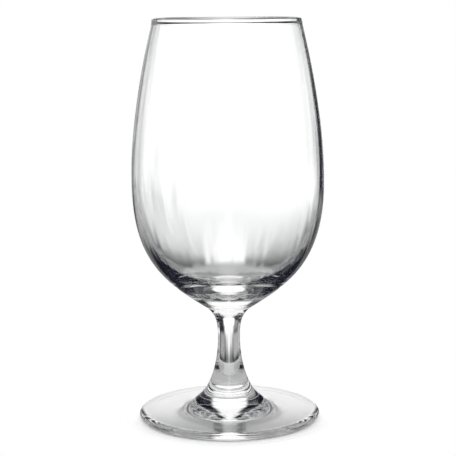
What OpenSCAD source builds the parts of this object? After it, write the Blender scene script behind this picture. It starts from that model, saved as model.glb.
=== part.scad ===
// A stemmed water goblet in clear glass: a blown bowl, a short solid stem and a round foot, fused end to end.
// Lengths are in millimetres. The glass stands on z = 0 and its axis is the Z axis.

/* [Overall] */
// Height from the table to the top of the rim
height = 170; // [160:1:184]

/* [Bowl] */
// Outside diameter of the rounded bead that closes the rim
rim_d = 63; // [58:0.5:68]
// Thickness of the bead, across its round section
bead_d = 2; // [1.8:0.1:2.6]
// How far the bead stands proud of the wall's outside
bead_proud = 0.3; // [0.1:0.05:0.5]
// Wall thickness just below the bead
rim_wall = 1.2; // [1:0.05:1.5]
// Inward lean of the wall at the rim, in degrees from upright
rim_lean_angle = 14.5; // [8:0.5:20]
// Outside diameter of the bowl at its widest, the belly
belly_d = 81.6; // [76:0.2:90]
// Height of the belly above the table
belly_z = 103.3; // [98:0.5:112]
// Wall thickness at the belly
belly_wall = 1.5; // [1.2:0.1:2]
// Thickness of solid glass between the bowl's seam and the lowest point of its inside
base_wall = 8; // [7.5:0.1:11]

/* [Seam of bowl and stem] */
// Height of the seam above the table
upper_seam_z = 48.5; // [46:0.5:52]
// Diameter of the seam
upper_seam_d = 21.6; // [18:0.2:25]
// Slope of the outside where it crosses the seam, in degrees from level
upper_seam_angle = 33; // [27:1:39]

/* [Stem] */
// Diameter of the stem at its narrowest, the waist
waist_d = 9.4; // [8:0.1:12]
// Height of the waist above the table
waist_z = 35.2; // [32:0.2:39]

/* [Seam of stem and foot] */
// Height of the seam above the table
lower_seam_z = 9; // [8.5:0.1:10]
// Diameter of the seam
lower_seam_d = 25.8; // [23:0.2:29]
// Slope of the outside where it crosses the seam, in degrees from level
lower_seam_angle = 38.9; // [34:0.1:44]

/* [Foot] */
// Diameter of the foot
foot_d = 77.6; // [72:0.2:84]
// Width of the rolled border round the foot
border_w = 3.2; // [2.4:0.1:4]
// Height of the foot's top where the border starts
border_z = 3.3; // [2.9:0.1:3.7]
// Slope of the foot's top where it meets the border, in degrees from level
border_angle = 3; // [2:0.5:6]
// Height of the edge where the foot is widest
edge_z = 1.6; // [1.3:0.1:1.9]
// Radius that the edge is rounded with on its way in to the standing ring
edge_round = 1.6; // [1.2:0.1:2]
// Width of the flat ring that the glass stands on
standing_w = 2.7; // [2:0.1:4]
// Depth of the shallow hollow inside the standing ring
hollow_depth = 1.4; // [1:0.1:2]

/* [Hidden] */

// Facets of the preview, and steps along each curve and each rounded edge
$fn = 120;
curve_steps = 28;
arc_steps = 10;

// Pull of each curve's two handles, as shares of the height that the curve spans
wall_rim_share = 0.305;
wall_belly_share = 0.305;
cup_belly_share = 0.59;
cup_seam_share = 0.416;
neck_seam_share = 0.356;
neck_waist_share = 0.59;
leg_waist_share = 0.454;
leg_seam_share = 0.239;
// The inside's handle at the belly is a share of its height, and the one at its bottom a share of its radius
inside_belly_share = 0.98;
inside_bottom_share = 0.23;
// The foot's handles, as shares of the radius that its top spans
dome_seam_share = 0.22;
dome_border_share = 0.86;
// The hollow's handles, as shares of its radius
hollow_ring_share = 0.25;
hollow_middle_share = 0.5;

rim_r = rim_d / 2;
bead_r = bead_d / 2;
belly_r = belly_d / 2;
upper_seam_r = upper_seam_d / 2;
waist_r = waist_d / 2;
lower_seam_r = lower_seam_d / 2;
foot_r = foot_d / 2;

// The bead's centre, and the angles at which its round section leaves the wall's outside and meets its inside
bead_centre = [rim_r - bead_r, height - bead_r];
bead_out_angle = rim_lean_angle - acos(1 - bead_proud / bead_r);
bead_in_angle = rim_lean_angle + 180 + acos((rim_wall + bead_proud) / bead_r - 1);
rim_out = bead_centre + bead_r * direction(bead_out_angle);
rim_in = bead_centre + bead_r * direction(bead_in_angle);

// The inside of the bowl
inside_r = belly_r - belly_wall;
inside_bottom_z = upper_seam_z + base_wall;

// The foot's border, standing ring and hollow
border_r = foot_r - border_w;
standing_r = foot_r - edge_round;
hollow_r = standing_r - standing_w;

// A unit vector at an angle from level
function direction(angle) = [cos(angle), sin(angle)];

// The points of a cubic curve from start to finish, pulled by its two handles
function curve(start, pull_a, pull_b, finish) = [
    for (i = [0:curve_steps])
        let (t = i / curve_steps, s = 1 - t)
        s * s * s * start + 3 * s * s * t * pull_a + 3 * s * t * t * pull_b + t * t * t * finish
];

// The points of an elliptical arc round a centre, between two angles
function arc(centre, width, rise, from, to) = [
    for (i = [0:arc_steps])
        let (angle = from + (to - from) * i / arc_steps)
        centre + [width * cos(angle), rise * sin(angle)]
];

// A wall that leans in towards the rim: from the belly up to a point at the rim
function upper_wall(belly, rim) =
    let (span = rim[1] - belly[1])
    curve(
        belly,
        belly + [0, span * wall_belly_share],
        rim - span * wall_rim_share * direction(90 + rim_lean_angle),
        rim
    );

// A list of points in the opposite order
function reversed(points) = [for (i = [len(points) - 1:-1:0]) points[i]];

// A list of points without its first, which ends the stretch before it
function rest(points) = [for (i = [1:len(points) - 1]) points[i]];

// The outside of the bowl below the belly, from the seam up
function cup_outside() =
    let (span = belly_z - upper_seam_z)
    curve(
        [upper_seam_r, upper_seam_z],
        [upper_seam_r, upper_seam_z] + span * cup_seam_share * direction(upper_seam_angle),
        [belly_r, belly_z - span * cup_belly_share],
        [belly_r, belly_z]
    );

// The inside of the bowl below the belly, from the belly down to the axis
function cup_inside() =
    let (span = belly_z - inside_bottom_z)
    curve(
        [inside_r, belly_z],
        [inside_r, belly_z - span * inside_belly_share],
        [inside_r * inside_bottom_share, inside_bottom_z],
        [0, inside_bottom_z]
    );

function bowl_outline() = concat(
    [[0, upper_seam_z]],
    cup_outside(),
    rest(upper_wall([belly_r, belly_z], rim_out)),
    rest(arc(bead_centre, bead_r, bead_r, bead_out_angle, 90)),
    rest(arc(bead_centre, bead_r, bead_r, 90, bead_in_angle)),
    rest(reversed(upper_wall([inside_r, belly_z], rim_in))),
    rest(cup_inside())
);

// The stem from its lower seam up to the waist, then from the waist up to its upper seam
function stem_outline() =
    let (leg = waist_z - lower_seam_z, neck = upper_seam_z - waist_z)
    concat(
        [[0, lower_seam_z]],
        curve(
            [lower_seam_r, lower_seam_z],
            [lower_seam_r, lower_seam_z] + leg * leg_seam_share * direction(180 - lower_seam_angle),
            [waist_r, waist_z - leg * leg_waist_share],
            [waist_r, waist_z]
        ),
        rest(curve(
            [waist_r, waist_z],
            [waist_r, waist_z + neck * neck_waist_share],
            [upper_seam_r, upper_seam_z] - neck * neck_seam_share * direction(upper_seam_angle),
            [upper_seam_r, upper_seam_z]
        )),
        [[0, upper_seam_z]]
    );

// The foot: the hollow from the axis out, the standing ring, the rounded edge, the border, then the domed top
function foot_outline() =
    let (span = border_r - lower_seam_r)
    concat(
        curve(
            [0, hollow_depth],
            [hollow_r * hollow_middle_share, hollow_depth],
            [hollow_r - hollow_r * hollow_ring_share, hollow_depth / 2],
            [hollow_r, 0]
        ),
        arc([standing_r, edge_z], edge_round, edge_z, -90, 0),
        rest(arc([border_r, edge_z], border_w, border_z - edge_z, 0, 90)),
        rest(curve(
            [border_r, border_z],
            [border_r, border_z] + span * dome_border_share * direction(180 - border_angle),
            [lower_seam_r, lower_seam_z] + span * dome_seam_share * direction(-lower_seam_angle),
            [lower_seam_r, lower_seam_z]
        )),
        [[0, lower_seam_z]]
    );

module bowl() {
    color("aliceblue", 0.4)
        rotate_extrude()
            polygon(bowl_outline());
}

module stem() {
    color("lightsteelblue", 0.6)
        rotate_extrude()
            polygon(stem_outline());
}

module foot() {
    color("lightcyan", 0.5)
        rotate_extrude()
            polygon(foot_outline());
}

bowl();
stem();
foot();
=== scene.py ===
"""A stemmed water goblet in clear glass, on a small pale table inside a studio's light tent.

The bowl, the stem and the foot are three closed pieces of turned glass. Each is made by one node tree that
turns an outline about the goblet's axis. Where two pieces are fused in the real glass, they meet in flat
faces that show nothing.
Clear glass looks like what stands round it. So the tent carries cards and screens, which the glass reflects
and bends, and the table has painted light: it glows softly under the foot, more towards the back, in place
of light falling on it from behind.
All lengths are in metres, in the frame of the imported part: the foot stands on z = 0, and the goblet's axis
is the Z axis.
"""
import math

import bmesh
import bpy
import numpy as np
from mathutils import Euler, Matrix, Vector


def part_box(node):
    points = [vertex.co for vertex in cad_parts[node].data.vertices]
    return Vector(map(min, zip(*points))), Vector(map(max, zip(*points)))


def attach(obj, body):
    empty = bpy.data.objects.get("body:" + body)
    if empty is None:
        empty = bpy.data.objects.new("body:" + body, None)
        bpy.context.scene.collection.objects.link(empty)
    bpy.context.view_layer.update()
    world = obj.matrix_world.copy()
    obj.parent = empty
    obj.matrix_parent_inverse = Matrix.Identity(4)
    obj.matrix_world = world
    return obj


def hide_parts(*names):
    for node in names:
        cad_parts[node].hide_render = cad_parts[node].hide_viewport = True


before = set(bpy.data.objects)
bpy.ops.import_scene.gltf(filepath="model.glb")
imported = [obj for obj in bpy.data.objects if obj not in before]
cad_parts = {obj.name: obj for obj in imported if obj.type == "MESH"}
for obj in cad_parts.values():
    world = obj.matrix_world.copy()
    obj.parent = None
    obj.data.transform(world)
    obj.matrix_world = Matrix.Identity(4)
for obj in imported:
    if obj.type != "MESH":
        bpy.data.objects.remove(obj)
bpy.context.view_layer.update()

MM = 0.001
FULL_TURN = 360
DEGREES = math.degrees(1)

# Driving sizes of the goblet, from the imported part
BOWL_LOW, BOWL_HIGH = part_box("bowl")
STEM_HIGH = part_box("stem")[1]
FOOT_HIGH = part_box("foot")[1]
HEIGHT = BOWL_HIGH.z
BELLY_RADIUS = BOWL_HIGH.x
UPPER_SEAM_Z = BOWL_LOW.z
LOWER_SEAM_Z = FOOT_HIGH.z
LOWER_SEAM_RADIUS = STEM_HIGH.x
FOOT_RADIUS = FOOT_HIGH.x

# Sizes of the bowl that the part's boxes don't give
BELLY_Z = 103.3 * MM
BELLY_WALL = 1.5 * MM
BASE_WALL = 8 * MM
RIM_RADIUS = 31.5 * MM
RIM_WALL = 1.2 * MM
RIM_LEAN = math.radians(14.5)
BEAD_RADIUS = 1 * MM
BEAD_PROUD = 0.3 * MM

# Sizes of the stem and its two seams
UPPER_SEAM_RADIUS = 10.8 * MM
UPPER_SEAM_SLOPE = math.radians(33)
WAIST_RADIUS = 4.7 * MM
WAIST_Z = 35.2 * MM
LOWER_SEAM_SLOPE = math.radians(38.9)

# Sizes of the foot
BORDER_WIDTH = 3.2 * MM
BORDER_Z = 3.3 * MM
BORDER_SLOPE = math.radians(3)
EDGE_Z = 1.6 * MM
EDGE_ROUND = 1.6 * MM
STANDING_WIDTH = 2.7 * MM
HOLLOW_DEPTH = 1.4 * MM

# Pull of each curve's two handles, as shares of the height or the radius that the curve spans
WALL_SHARE = 0.305
CUP_SEAM_SHARE = 0.416
CUP_BELLY_SHARE = 0.59
INSIDE_BELLY_SHARE = 0.98
INSIDE_BOTTOM_SHARE = 0.23
LEG_SEAM_SHARE = 0.239
LEG_WAIST_SHARE = 0.454
NECK_WAIST_SHARE = 0.59
NECK_SEAM_SHARE = 0.356
DOME_BORDER_SHARE = 0.86
DOME_SEAM_SHARE = 0.22
HOLLOW_MIDDLE_SHARE = 0.5
HOLLOW_RING_SHARE = 0.25

# How finely the outlines are drawn and turned
SEGMENTS = 256
CUP_STEPS = 80
INSIDE_STEPS = 96
WALL_STEPS = 48
STEM_STEPS = 56
HOLLOW_STEPS = 56
DOME_STEPS = 60
EDGE_STEPS = 16
MERGE_DISTANCE = 0.001 * MM

# Unevenness that blowing and pressing leave: slow ripples all over, and streaks where the bowl is wide.
# Both are noise that is read on a ring, so a wider ring gives more ripples or streaks round the glass.
UNEVENNESS = {
    "Ripple Depth": 0.035 * MM,
    "Ripple Length": 26 * MM,
    "Ripple Ring": 2.6,
    "Ripple Seed": 7.0,
    "Streak Depth": 0.15 * MM,
    "Streak Length": 70 * MM,
    "Streak Ring": 9.0,
    "Streak Seed": 27.0,
    "Streaks Start Radius": 22 * MM,
    "Streaks Full Radius": 35 * MM,
}

# Finish of the glass: its faint tint, and the size of the slight waves that polishing in the fire leaves
GLASS_INDEX = 1.5
GLASS_TINT = (0.985, 0.99, 0.99)
TINT_PATCH = 9 * MM
WAVE_HEIGHT = 0.004 * MM
BOWL_WAVE = 14 * MM
STEM_WAVE = 8 * MM
FOOT_WAVE = 10 * MM

# Place of the camera, how far it looks down, turns and rolls, and its lens
CAMERA_PLACE = Vector((0, -0.585, 0.1754))
CAMERA_DOWN = math.radians(9.103)
CAMERA_TURN = math.radians(0.007)
CAMERA_ROLL = math.radians(-0.42)
FRAME_PIXELS = 456
LENS_PIXELS = 1397.3
SENSOR_WIDTH = 36

# The table: a pale disc just under the foot, which fades away round its edge. It carries painted light: an
# emission, weak at the front and stronger at the back, in place of light falling on it from behind
TABLE_DROP = 0.05 * MM
TABLE_SOLID = 37 * MM
TABLE_RADIUS = 47 * MM
TABLE_CORNERS = 96
TABLE_GREY = 0.96
PAINTED_LIGHT_START = -30 * MM
PAINTED_LIGHT_FULL = 12 * MM
FRONT_PAINTED_LIGHT = 0.04
BACK_PAINTED_LIGHT = 0.34

# The tent's ball of dark cloth, which hangs round the camera's place
TENT_RADIUS = 4.0
TENT_DIVISIONS = 4
TENT_DARK = (0.009, 0.010, 0.018)
CAMERA_REACH = 3 * TENT_RADIUS

# Cards and lamps on the tent, on a flat chart of directions round the camera's axis, later ones in front.
# Each has its left, right, low and high edges, then how soft they are across and up, all in degrees, and
# its brightness.
CARDS = (
    (-200, 200, -200, -95, 6, 10, 0.35),  # the grey floor from the camera back
    (-14, 13, -95, -31, 4, 3, 0.88),  # a pale strip of floor between the camera and the goblet
    (-9, 8, -31, -10, 4, 3, 0.2),  # the dark end of that strip
    (-60, -34, -22, 12, 4, 5, 0.5),  # the grey card far to the left
    (34, 56, 3, 14, 3, 3, 0.36),  # the small card far to the right
    (33, 60, -27, -6, 3, 3, 0.2),  # the dark card below it
    (-30, 30, 90, 128, 8, 8, 1.1),  # the lamp overhead
    (-50, 50, 128, 175, 8, 8, 0.9),  # the lamp high behind the camera
    (-13, 13, 20, 92, 4, 4, 1.0),  # the white strip from the backdrop up to the lamp
    (-27, 27, 50, 92, 6, 8, 1.0),  # its wider end
    (-46, -13, -17, -3, 3, 3, 0.42),  # the low grey card to the left of the backdrop
    (13, 30, -17, -3, 3, 3, 0.36),  # the low grey card to the right of it
    (-30, -12, -1, 19, 4, 4, 0.3),  # the dark card to the left of the backdrop
    (-11, 10, -11, 0, 4, 5.5, 0.7),  # the grey foot of the backdrop
    (-12.5, 12.5, -3.4, 26, 5.5, 4, 1.3),  # the white backdrop
    (-14.5, 13.5, 5.5, 26, 3, 2.5, 1.3),  # its wider top
    (-7.5, -3.5, -8, 2, 2, 2.5, 0.88),  # a pale patch in the grey
    (-1.5, 1.5, -29, -14, 0.9, 3, 0.48),  # the grey foot of the column
    (-2.2, 2.2, -10, -1, 1.6, 3, 1.05),  # the bright column in the middle
    (-1, 1, -14, -3, 0.8, 3, 1.15),  # its core
)
# Keeps the division in the very middle of the chart from failing
CHART_MIDDLE = 0.000001

# Upright white screens in a ring on the tent, and grey sheets below them, for views from the other sides.
# The ring leaves out the stretch behind the goblet that the cards fill. Its sizes are in degrees too.
SCREEN_SPACING = 45
SCREENS_RIGHT = 39
SCREENS_LEFT = -67.5
SCREEN_HALF_WIDTH = 16
SCREEN_LOW = -14
SCREEN_HIGH = -5
SHEET_LOW = -42
SCREEN_SOFT = 3
SCREEN_LEVEL = 1.1
SHEET_LEVEL = 0.45

# Brightness of the white room on the table, and how often light may turn on its way through the glass
WORLD_LEVEL = 1.04
MAX_BOUNCES = 32
GLASS_BOUNCES = 24
CLEAR_BOUNCES = 16

# Places of a Mix node's two colours and of its result, whose names are shared by other sockets
UNDER_COLOUR = 6
OVER_COLOUR = 7
MIXED_COLOUR = 2


class Socket:
    """An output socket of a shader or geometry tree, with Python's operators as Math nodes."""

    def __init__(self, tree, socket):
        self.tree = tree
        self.socket = socket

    def maths(self, operation, *values):
        """The result of a Math node on these values."""
        return self.tree.add("ShaderNodeMath", {"operation": operation}, dict(enumerate(values))).out()

    def __add__(self, other):
        return self.maths("ADD", self, other)

    def __radd__(self, other):
        return self.maths("ADD", other, self)

    def __sub__(self, other):
        return self.maths("SUBTRACT", self, other)

    def __rsub__(self, other):
        return self.maths("SUBTRACT", other, self)

    def __mul__(self, other):
        return self.maths("MULTIPLY", self, other)

    def __rmul__(self, other):
        return self.maths("MULTIPLY", other, self)

    def __truediv__(self, other):
        return self.maths("DIVIDE", self, other)

    def __rtruediv__(self, other):
        return self.maths("DIVIDE", other, self)

    def __mod__(self, other):
        return self.maths("MODULO", self, other)

    def __rmod__(self, other):
        return self.maths("MODULO", other, self)

    def __abs__(self):
        return self.maths("ABSOLUTE", self)

    def rounded(self):
        return self.maths("ROUND", self)

    def root(self):
        return self.maths("SQRT", self)

    def sine(self):
        return self.maths("SINE", self)

    def cosine(self):
        return self.maths("COSINE", self)

    def arccosine(self):
        return self.maths("ARCCOSINE", self)

    def arctangent(self, other):
        """The angle, in radians, of a slope that rises by this over a run of the other."""
        return self.maths("ARCTAN2", self, other)

    def larger(self, other):
        return self.maths("MAXIMUM", self, other)

    def matches(self, other, margin=0.5):
        """1 where two whole numbers are the same, otherwise 0."""
        return self.maths("COMPARE", self, other, margin)


class Node:
    """A node with a short way to its outputs."""

    def __init__(self, tree, node):
        self.tree = tree
        self.node = node

    def out(self, name=0):
        return Socket(self.tree, self.node.outputs[name])


class Tree:
    """A node tree. add() makes any node from its type, its settings and its sockets' values or links."""

    def __init__(self, tree):
        self.tree = tree

    def add(self, kind, settings=None, sockets=None):
        node = self.tree.nodes.new(kind)
        for name, value in (settings or {}).items():
            setattr(node, name, value)
        for name, value in (sockets or {}).items():
            if isinstance(value, Socket):
                self.tree.links.new(value.socket, node.inputs[name])
            else:
                node.inputs[name].default_value = value
        return Node(self, node)


def eased(tree, value, start, full):
    """0 up to the start and 1 from full on, with a soft change between."""
    return tree.add("ShaderNodeMapRange", {"interpolation_type": "SMOOTHSTEP"}, {
        "Value": value, "From Min": start, "From Max": full}).out()


def grey(level):
    """A grey of this brightness, as a colour socket takes it."""
    return level, level, level, 1


def mixed(tree, share, under, over):
    """One colour laid over another by a share from 0 to 1."""
    return tree.add("ShaderNodeMix", {"data_type": "RGBA"}, {
        "Factor": share, UNDER_COLOUR: under, OVER_COLOUR: over}).out(MIXED_COLOUR)


def new_material(name):
    """A material with an empty tree."""
    material = bpy.data.materials.new(name)
    material.use_nodes = True
    material.node_tree.nodes.clear()
    return material, Tree(material.node_tree)


def placed(name, data):
    """An object of this mesh or camera, linked into the scene at the origin."""
    item = bpy.data.objects.new(name, data)
    bpy.context.scene.collection.objects.link(item)
    return item


# The outlines of the three pieces

def direction(angle):
    """A unit vector at an angle from level."""
    return np.array([math.cos(angle), math.sin(angle)])


def point(radius, height):
    """A point of an outline."""
    return np.array([radius, height])


def line(start, finish):
    """The two points of a straight stretch."""
    return np.array([start, finish])


def curve(start, pull_a, pull_b, finish, steps):
    """Points of a cubic curve from start to finish, pulled by its two handles."""
    t = np.linspace(0, 1, steps + 1)[:, None]
    s = 1 - t
    return s**3 * start + 3 * s * s * t * pull_a + 3 * s * t * t * pull_b + t**3 * finish


def arc(centre, width, rise, start, finish, steps):
    """Points of an elliptical arc round a centre, between two angles."""
    angle = np.linspace(start, finish, steps + 1)
    return np.stack([centre[0] + width * np.cos(angle), centre[1] + rise * np.sin(angle)], -1)


def joined(*stretches):
    """One outline from stretches that each start where the last one ended."""
    return np.concatenate([stretches[0]] + [stretch[1:] for stretch in stretches[1:]])


def upper_wall(belly, rim):
    """A wall that leans in towards the rim, from the belly up."""
    pull = (rim[1] - belly[1]) * WALL_SHARE
    lean = direction(math.pi / 2 + RIM_LEAN)
    return curve(belly, belly + point(0, pull), rim - pull * lean, rim, WALL_STEPS)


def bowl_outline():
    """From the axis at the seam, up the outside, over the bead, and down the inside to the axis."""
    span = BELLY_Z - UPPER_SEAM_Z
    inside_radius = BELLY_RADIUS - BELLY_WALL
    inside_bottom = UPPER_SEAM_Z + BASE_WALL
    inside_span = BELLY_Z - inside_bottom
    bead = point(RIM_RADIUS - BEAD_RADIUS, HEIGHT - BEAD_RADIUS)
    bead_out = RIM_LEAN - math.acos(1 - BEAD_PROUD / BEAD_RADIUS)
    bead_in = RIM_LEAN + math.pi + math.acos((RIM_WALL + BEAD_PROUD) / BEAD_RADIUS - 1)
    rim_out = bead + BEAD_RADIUS * direction(bead_out)
    rim_in = bead + BEAD_RADIUS * direction(bead_in)
    seam = point(UPPER_SEAM_RADIUS, UPPER_SEAM_Z)
    belly = point(BELLY_RADIUS, BELLY_Z)
    inside_belly = point(inside_radius, BELLY_Z)
    cup_outside = curve(
        seam,
        seam + span * CUP_SEAM_SHARE * direction(UPPER_SEAM_SLOPE),
        belly - point(0, span * CUP_BELLY_SHARE),
        belly,
        CUP_STEPS,
    )
    cup_inside = curve(
        inside_belly,
        inside_belly - point(0, inside_span * INSIDE_BELLY_SHARE),
        point(inside_radius * INSIDE_BOTTOM_SHARE, inside_bottom),
        point(0, inside_bottom),
        INSIDE_STEPS,
    )
    return joined(
        line(point(0, UPPER_SEAM_Z), seam),
        cup_outside,
        upper_wall(belly, rim_out),
        arc(bead, BEAD_RADIUS, BEAD_RADIUS, bead_out, math.pi / 2, EDGE_STEPS // 2),
        arc(bead, BEAD_RADIUS, BEAD_RADIUS, math.pi / 2, bead_in, EDGE_STEPS),
        upper_wall(inside_belly, rim_in)[::-1],
        cup_inside,
    )


def stem_outline():
    """From the axis at the lower seam, up past the waist, and back to the axis at the upper seam."""
    leg = WAIST_Z - LOWER_SEAM_Z
    neck = UPPER_SEAM_Z - WAIST_Z
    low = point(LOWER_SEAM_RADIUS, LOWER_SEAM_Z)
    waist = point(WAIST_RADIUS, WAIST_Z)
    high = point(UPPER_SEAM_RADIUS, UPPER_SEAM_Z)
    return joined(
        line(point(0, LOWER_SEAM_Z), low),
        curve(
            low,
            low + leg * LEG_SEAM_SHARE * direction(math.pi - LOWER_SEAM_SLOPE),
            waist - point(0, leg * LEG_WAIST_SHARE),
            waist,
            STEM_STEPS,
        ),
        curve(
            waist,
            waist + point(0, neck * NECK_WAIST_SHARE),
            high - neck * NECK_SEAM_SHARE * direction(UPPER_SEAM_SLOPE),
            high,
            STEM_STEPS,
        ),
        line(high, point(0, UPPER_SEAM_Z)),
    )


def foot_outline():
    """The hollow from the axis out, the standing ring, the rounded edge, the border, then the domed top."""
    border_radius = FOOT_RADIUS - BORDER_WIDTH
    standing_radius = FOOT_RADIUS - EDGE_ROUND
    hollow_radius = standing_radius - STANDING_WIDTH
    span = border_radius - LOWER_SEAM_RADIUS
    border = point(border_radius, BORDER_Z)
    low = point(LOWER_SEAM_RADIUS, LOWER_SEAM_Z)
    return joined(
        curve(
            point(0, HOLLOW_DEPTH),
            point(hollow_radius * HOLLOW_MIDDLE_SHARE, HOLLOW_DEPTH),
            point(hollow_radius * (1 - HOLLOW_RING_SHARE), HOLLOW_DEPTH / 2),
            point(hollow_radius, 0),
            HOLLOW_STEPS,
        ),
        line(point(hollow_radius, 0), point(standing_radius, 0)),
        arc(point(standing_radius, EDGE_Z), EDGE_ROUND, EDGE_Z, -math.pi / 2, 0, EDGE_STEPS),
        arc(point(border_radius, EDGE_Z), BORDER_WIDTH, BORDER_Z - EDGE_Z, 0, math.pi / 2, EDGE_STEPS),
        curve(
            border,
            border + span * DOME_BORDER_SHARE * direction(math.pi - BORDER_SLOPE),
            low + span * DOME_SEAM_SHARE * direction(-LOWER_SEAM_SLOPE),
            low,
            DOME_STEPS,
        ),
        line(low, point(0, LOWER_SEAM_Z)),
    )


# The node tree that turns an outline into a piece of glass

def ring_noise(tree, sizes, kind, angle, way, detail, roughness):
    """Noise that closes round the glass and stretches along a way up it, for the ripples or the streaks."""
    ring = sizes.out(kind + " Ring")
    place = tree.add("ShaderNodeCombineXYZ", None, {
        "X": angle.cosine() * ring, "Y": angle.sine() * ring, "Z": way / sizes.out(kind + " Length")})
    return tree.add("ShaderNodeTexNoise", {"noise_dimensions": "4D"}, {
        "Vector": place.out(), "W": sizes.out(kind + " Seed"),
        "Scale": 1.0, "Detail": detail, "Roughness": roughness}).out()


def turned_surface(tree, sizes, outline, rows, index):
    """A grid laid round the axis. Its points run down its columns, and each column is the outline once."""
    segments = sizes.out("Segments")
    grid = tree.add("GeometryNodeMeshGrid", None, {
        "Size X": 1, "Size Y": 1, "Vertices X": segments + 1, "Vertices Y": rows})
    row = index % rows
    column = ((index - row) / rows).rounded()
    place = tree.add("GeometryNodeSampleIndex", {"data_type": "FLOAT_VECTOR", "domain": "POINT"}, {
        "Geometry": outline, "Value": tree.add("GeometryNodeInputPosition").out(), "Index": row}).out()
    parts = tree.add("ShaderNodeSeparateXYZ", None, {0: place})
    radius, way, height = parts.out("X"), parts.out("Y"), parts.out("Z")
    angle = column / segments * (2 * math.pi)

    # The ripples follow the height, so they run on over the seams. The streaks follow the way up the glass.
    ripple = ring_noise(tree, sizes, "Ripple", angle, height, detail=2.0, roughness=0.45)
    streak = ring_noise(tree, sizes, "Streak", angle, way, detail=1.0, roughness=0.5)
    fade = eased(tree, radius, sizes.out("Streaks Start Radius"), sizes.out("Streaks Full Radius"))
    inset = ripple * sizes.out("Ripple Depth") + streak * sizes.out("Streak Depth") * fade
    uneven = (radius - inset).larger(0)
    turned = tree.add("ShaderNodeCombineXYZ", None, {
        "X": uneven * angle.cosine(), "Y": uneven * angle.sine(), "Z": height})
    return tree.add("GeometryNodeSetPosition", None, {
        "Geometry": grid.out("Mesh"), "Position": turned.out()}).out()


def turned_glass_tree():
    """Turns an outline about the Z axis, makes it slightly uneven, and sets its glass and fused faces."""
    group = bpy.data.node_groups.new("turned glass", "GeometryNodeTree")
    tree = Tree(group)
    inputs = {
        "Outline": "NodeSocketObject",
        "Segments": "NodeSocketInt",
        "Fused First Row": "NodeSocketBool",
        "Fused Last Row": "NodeSocketBool",
        "Glass": "NodeSocketMaterial",
        "Fused Face": "NodeSocketMaterial",
        **dict.fromkeys(UNEVENNESS, "NodeSocketFloat"),
    }
    for name, kind in inputs.items():
        group.interface.new_socket(name, in_out="INPUT", socket_type=kind)
    group.interface.new_socket("Piece", in_out="OUTPUT", socket_type="NodeSocketGeometry")
    sizes = tree.add("NodeGroupInput")
    outline = tree.add("GeometryNodeObjectInfo", None, {"Object": sizes.out("Outline")}).out("Geometry")
    rows = tree.add("GeometryNodeAttributeDomainSize", {"component": "MESH"}, {
        "Geometry": outline}).out("Point Count")
    index = tree.add("GeometryNodeInputIndex").out()
    surface = turned_surface(tree, sizes, outline, rows, index)

    # The faces of the first and last rows are marked before merging renumbers them
    face_rows = rows - 1
    face_row = index % face_rows
    first = face_row.matches(0)
    last = face_row.matches(face_rows - 1)
    marked = tree.add("GeometryNodeStoreNamedAttribute", {"data_type": "BOOLEAN", "domain": "FACE"}, {
        "Geometry": surface, "Name": "fused",
        "Value": first * sizes.out("Fused First Row") + last * sizes.out("Fused Last Row")}).out()
    closed = tree.add("GeometryNodeMergeByDistance", None, {
        "Geometry": marked, "Distance": MERGE_DISTANCE}).out()
    is_fused = tree.add("GeometryNodeInputNamedAttribute", {"data_type": "BOOLEAN"}, {
        "Name": "fused"}).out()
    smooth = tree.add("GeometryNodeSetShadeSmooth", {"domain": "FACE"}, {
        "Geometry": closed, "Shade Smooth": 1 - is_fused}).out()
    real = tree.add("GeometryNodeRealizeInstances", None, {"Geometry": smooth}).out()
    glass = tree.add("GeometryNodeSetMaterial", None, {
        "Geometry": real, "Material": sizes.out("Glass")}).out()
    done = tree.add("GeometryNodeSetMaterial", None, {
        "Geometry": glass, "Selection": is_fused, "Material": sizes.out("Fused Face")}).out()
    tree.add("NodeGroupOutput", None, {"Piece": done})
    return group


def outline_object(name, outline):
    """The outline as a chain of edges. Its Y is the way up the glass, which goes on inside from the rim."""
    top = int(np.argmax(outline[:, 1]))
    points = [(r, z if i <= top else 2 * HEIGHT - z, z) for i, (r, z) in enumerate(outline)]
    mesh = bpy.data.meshes.new(name + "_outline")
    mesh.from_pydata(points, [(i, i + 1) for i in range(len(points) - 1)], [])
    return placed(name + "_outline", mesh)


def turned_piece(name, outline, tree, glass, seam_face, fused_first, fused_last):
    """Runs the tree on one outline and returns the result as a plain mesh object at the origin."""
    profile = outline_object(name, outline)
    blank = placed(name + "_blank", bpy.data.meshes.new(name + "_blank"))
    modifier = blank.modifiers.new("turned glass", "NODES")
    modifier.node_group = tree
    values = {
        "Outline": profile,
        "Segments": SEGMENTS,
        "Fused First Row": fused_first,
        "Fused Last Row": fused_last,
        "Glass": glass,
        "Fused Face": seam_face,
        **UNEVENNESS,
    }
    for item in tree.interface.items_tree:
        if item.in_out == "INPUT":
            modifier[item.identifier] = values[item.name]
    depsgraph = bpy.context.evaluated_depsgraph_get()
    mesh = bpy.data.meshes.new_from_object(blank.evaluated_get(depsgraph), depsgraph=depsgraph)
    blank.modifiers.remove(modifier)
    for helper in (blank, profile):
        bpy.data.objects.remove(helper)
    mesh.name = name

    # The grid brings an empty first slot, and the mark of the fused faces has done its work
    mesh.materials.pop(index=0)
    mesh.attributes.remove(mesh.attributes["fused"])
    return placed(name, mesh)


# The finishes of the goblet

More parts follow.
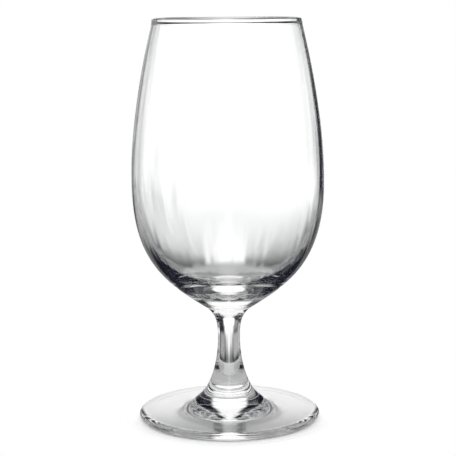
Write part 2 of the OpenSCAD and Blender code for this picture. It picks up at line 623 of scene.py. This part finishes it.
def clear_glass(name, wave_size):
    """Clear glass with a faint tint that varies, and the slight waves of a fire-polished surface."""
    material, tree = new_material(name)
    place = tree.add("ShaderNodeTexCoord").out("Object")
    waves = tree.add("ShaderNodeTexNoise", None, {
        "Vector": place, "Scale": 1 / wave_size, "Detail": 2.0, "Roughness": 0.4}).out()
    relief = tree.add("ShaderNodeBump", None, {"Strength": 1.0, "Distance": WAVE_HEIGHT, "Height": waves})
    patches = tree.add("ShaderNodeTexNoise", None, {
        "Vector": place, "Scale": 1 / TINT_PATCH, "Detail": 3.0, "Roughness": 0.5}).out()
    glass = tree.add("ShaderNodeBsdfPrincipled", None, {
        "Base Color": mixed(tree, patches, (*GLASS_TINT, 1), grey(1)),
        "Roughness": 0.0,
        "IOR": GLASS_INDEX,
        "Transmission Weight": 1.0,
        "Normal": relief.out(),
    })
    tree.add("ShaderNodeOutputMaterial", None, {"Surface": glass.out()})
    return material


def fused_face():
    """The meeting faces of two pieces that are one in the real glass: nothing is seen there."""
    material, tree = new_material("fused_seam_face")
    face = tree.add("ShaderNodeBsdfPrincipled", None, {
        "Base Color": grey(1), "Alpha": 0.0, "IOR": GLASS_INDEX})
    tree.add("ShaderNodeOutputMaterial", None, {"Surface": face.out()})
    return material


# The studio

def pale_table():
    """The table's matt finish, with painted light: an emission that grows towards the back, in place of
    light falling from behind. Its edge fades into the white.
    """
    material, tree = new_material("pale_table")
    place = tree.add("ShaderNodeTexCoord").out("Object")
    reach = tree.add("ShaderNodeVectorMath", {"operation": "LENGTH"}, {0: place}).out("Value")
    depth = tree.add("ShaderNodeSeparateXYZ", None, {0: place}).out("Y")
    # Painted light: the table's emission grows from the front to the back, standing in for light that falls
    # on it from behind
    glow = mixed(tree, eased(tree, depth, PAINTED_LIGHT_START, PAINTED_LIGHT_FULL), grey(FRONT_PAINTED_LIGHT), grey(BACK_PAINTED_LIGHT))
    surface = tree.add("ShaderNodeBsdfPrincipled", None, {
        "Base Color": grey(TABLE_GREY), "Roughness": 0.9, "Specular IOR Level": 0.2,
        "Emission Color": glow, "Emission Strength": 1.0})
    clear = tree.add("ShaderNodeBsdfTransparent")
    both = tree.add("ShaderNodeMixShader", None, {
        0: eased(tree, reach, TABLE_SOLID, TABLE_RADIUS), 1: surface.out(), 2: clear.out()})
    tree.add("ShaderNodeOutputMaterial", None, {"Surface": both.out()})
    return material


def table_top():
    """The small round table that the goblet's shadow falls on."""
    turns = [2 * math.pi * i / TABLE_CORNERS for i in range(TABLE_CORNERS)]
    corners = [TABLE_RADIUS * direction(turn) for turn in turns]
    mesh = bpy.data.meshes.new("table_top")
    mesh.from_pydata([(x, y, -TABLE_DROP) for x, y in corners], [], [tuple(range(TABLE_CORNERS))])
    mesh.materials.append(pale_table())
    table = placed("table_top", mesh)


def camera_matrix():
    """Where the camera stands and how it is turned. The tent's chart of directions is drawn from there."""
    look = Euler((math.pi / 2 - CAMERA_DOWN, 0, CAMERA_TURN)).to_matrix().to_4x4()
    return Matrix.Translation(CAMERA_PLACE) @ look @ Matrix.Rotation(CAMERA_ROLL, 4, "Z")


def make_camera():
    """The camera, which looks at the goblet as the photograph does."""
    data = bpy.data.cameras.new("camera")
    data.sensor_width = SENSOR_WIDTH
    data.lens = LENS_PIXELS / FRAME_PIXELS * SENSOR_WIDTH
    data.clip_end = CAMERA_REACH
    camera = placed("camera", data)
    camera.matrix_world = camera_matrix()
    bpy.context.scene.camera = camera


def soft_edge(tree, value, place, softness):
    """0 below a place and 1 above it, with a soft change between."""
    return eased(tree, value, place - softness, place + softness)


def between(tree, value, low, high, softness):
    """1 between two places and 0 outside them, with soft edges."""
    return soft_edge(tree, value, low, softness) * (1 - soft_edge(tree, value, high, softness))


def cards_on(tree, colour, across, up, back):
    """Lays the cards over the cloth, by how far off the camera's axis a direction is, and on which side."""
    angle = (-1 * back).arccosine() * DEGREES
    spread = (across * across + up * up).larger(CHART_MIDDLE).root()
    chart_across = angle * across / spread
    chart_up = angle * up / spread
    for left, right, low, high, soft_across, soft_up, level in CARDS:
        wide = between(tree, chart_across, left, right, soft_across)
        tall = between(tree, chart_up, low, high, soft_up)
        colour = mixed(tree, wide * tall, colour, grey(level))
    return colour


def screens_on(tree, colour, across, up, back):
    """Lays the screens and sheets over the cloth, by the turn from straight ahead and the rise."""
    level_up = up * math.cos(CAMERA_DOWN) + back * math.sin(CAMERA_DOWN)
    level_ahead = up * math.sin(CAMERA_DOWN) - back * math.cos(CAMERA_DOWN)
    level_reach = (across * across + level_ahead * level_ahead).root()
    turn = across.arctangent(level_ahead) * DEGREES
    rise = level_up.arctangent(level_reach) * DEGREES
    ring = 1 - between(tree, turn, SCREENS_LEFT, SCREENS_RIGHT, SCREEN_SOFT)
    half_spacing = SCREEN_SPACING / 2
    from_middle = abs((turn + (FULL_TURN + half_spacing)) % SCREEN_SPACING - half_spacing)
    width = 1 - soft_edge(tree, from_middle, SCREEN_HALF_WIDTH, SCREEN_SOFT)
    screens = ring * width * between(tree, rise, SCREEN_LOW, SCREEN_HIGH, SCREEN_SOFT)
    sheets = ring * between(tree, rise, SHEET_LOW, SCREEN_LOW, SCREEN_SOFT)
    colour = mixed(tree, screens, colour, grey(SCREEN_LEVEL))
    return mixed(tree, sheets, colour, grey(SHEET_LEVEL))


def tent_cloth():
    """The tent's dark cloth with its cards and screens, which glow by their place on the tent."""
    material, tree = new_material("tent_cloth")
    place = tree.add("ShaderNodeVectorMath", {"operation": "NORMALIZE"}, {
        0: tree.add("ShaderNodeTexCoord").out("Object")}).out("Vector")
    parts = tree.add("ShaderNodeSeparateXYZ", None, {0: place})
    across, up, back = parts.out("X"), parts.out("Y"), parts.out("Z")
    colour = cards_on(tree, (*TENT_DARK, 1), across, up, back)
    colour = screens_on(tree, colour, across, up, back)
    glow = tree.add("ShaderNodeEmission", None, {"Color": colour, "Strength": 1.0})
    tree.add("ShaderNodeOutputMaterial", None, {"Surface": glow.out()})
    return material


def light_tent():
    """The tent, which stands still and which only reflected and bent rays see."""
    mesh = bpy.data.meshes.new("light_tent")
    ball = bmesh.new()
    bmesh.ops.create_icosphere(ball, subdivisions=TENT_DIVISIONS, radius=TENT_RADIUS)
    ball.to_mesh(mesh)
    ball.free()
    mesh.materials.append(tent_cloth())
    tent = placed("light_tent", mesh)
    tent.matrix_world = camera_matrix()
    for kind in ("camera", "diffuse", "shadow", "volume_scatter"):
        setattr(tent, "visible_" + kind, False)


def white_world():
    """White for what is seen, directly or by way of the glass, and a soft even light on the table."""
    world = bpy.data.worlds.new("white studio")
    world.use_nodes = True
    world.node_tree.nodes.clear()
    tree = Tree(world.node_tree)
    path = tree.add("ShaderNodeLightPath")
    by_glass = path.out("Is Glossy Ray").larger(path.out("Is Transmission Ray"))
    seen = path.out("Is Camera Ray").larger(by_glass)
    background = tree.add("ShaderNodeBackground", None, {
        "Color": grey(1), "Strength": WORLD_LEVEL + (1 - WORLD_LEVEL) * seen})
    tree.add("ShaderNodeOutputWorld", None, {"Surface": background.out()})
    bpy.context.scene.world = world


# The goblet: each piece's node, outline and glass, and whether its first and last faces are fused
tree = turned_glass_tree()
seam_face = fused_face()
PIECES = (
    ("bowl", bowl_outline(), clear_glass("blown_bowl_glass", BOWL_WAVE), True, False),
    ("stem", stem_outline(), clear_glass("pressed_stem_glass", STEM_WAVE), True, True),
    ("foot", foot_outline(), clear_glass("pressed_foot_glass", FOOT_WAVE), False, True),
)
for node, outline, glass, fused_first, fused_last in PIECES:
    piece = turned_piece(node + "_glass", outline, tree, glass, seam_face, fused_first, fused_last)
    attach(piece, "root")
    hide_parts(node)

table_top()
make_camera()
light_tent()
white_world()

scene = bpy.context.scene
scene.view_settings.view_transform = "Standard"
scene.cycles.max_bounces = MAX_BOUNCES
scene.cycles.glossy_bounces = GLASS_BOUNCES
scene.cycles.transmission_bounces = GLASS_BOUNCES
scene.cycles.transparent_max_bounces = CLEAR_BOUNCES
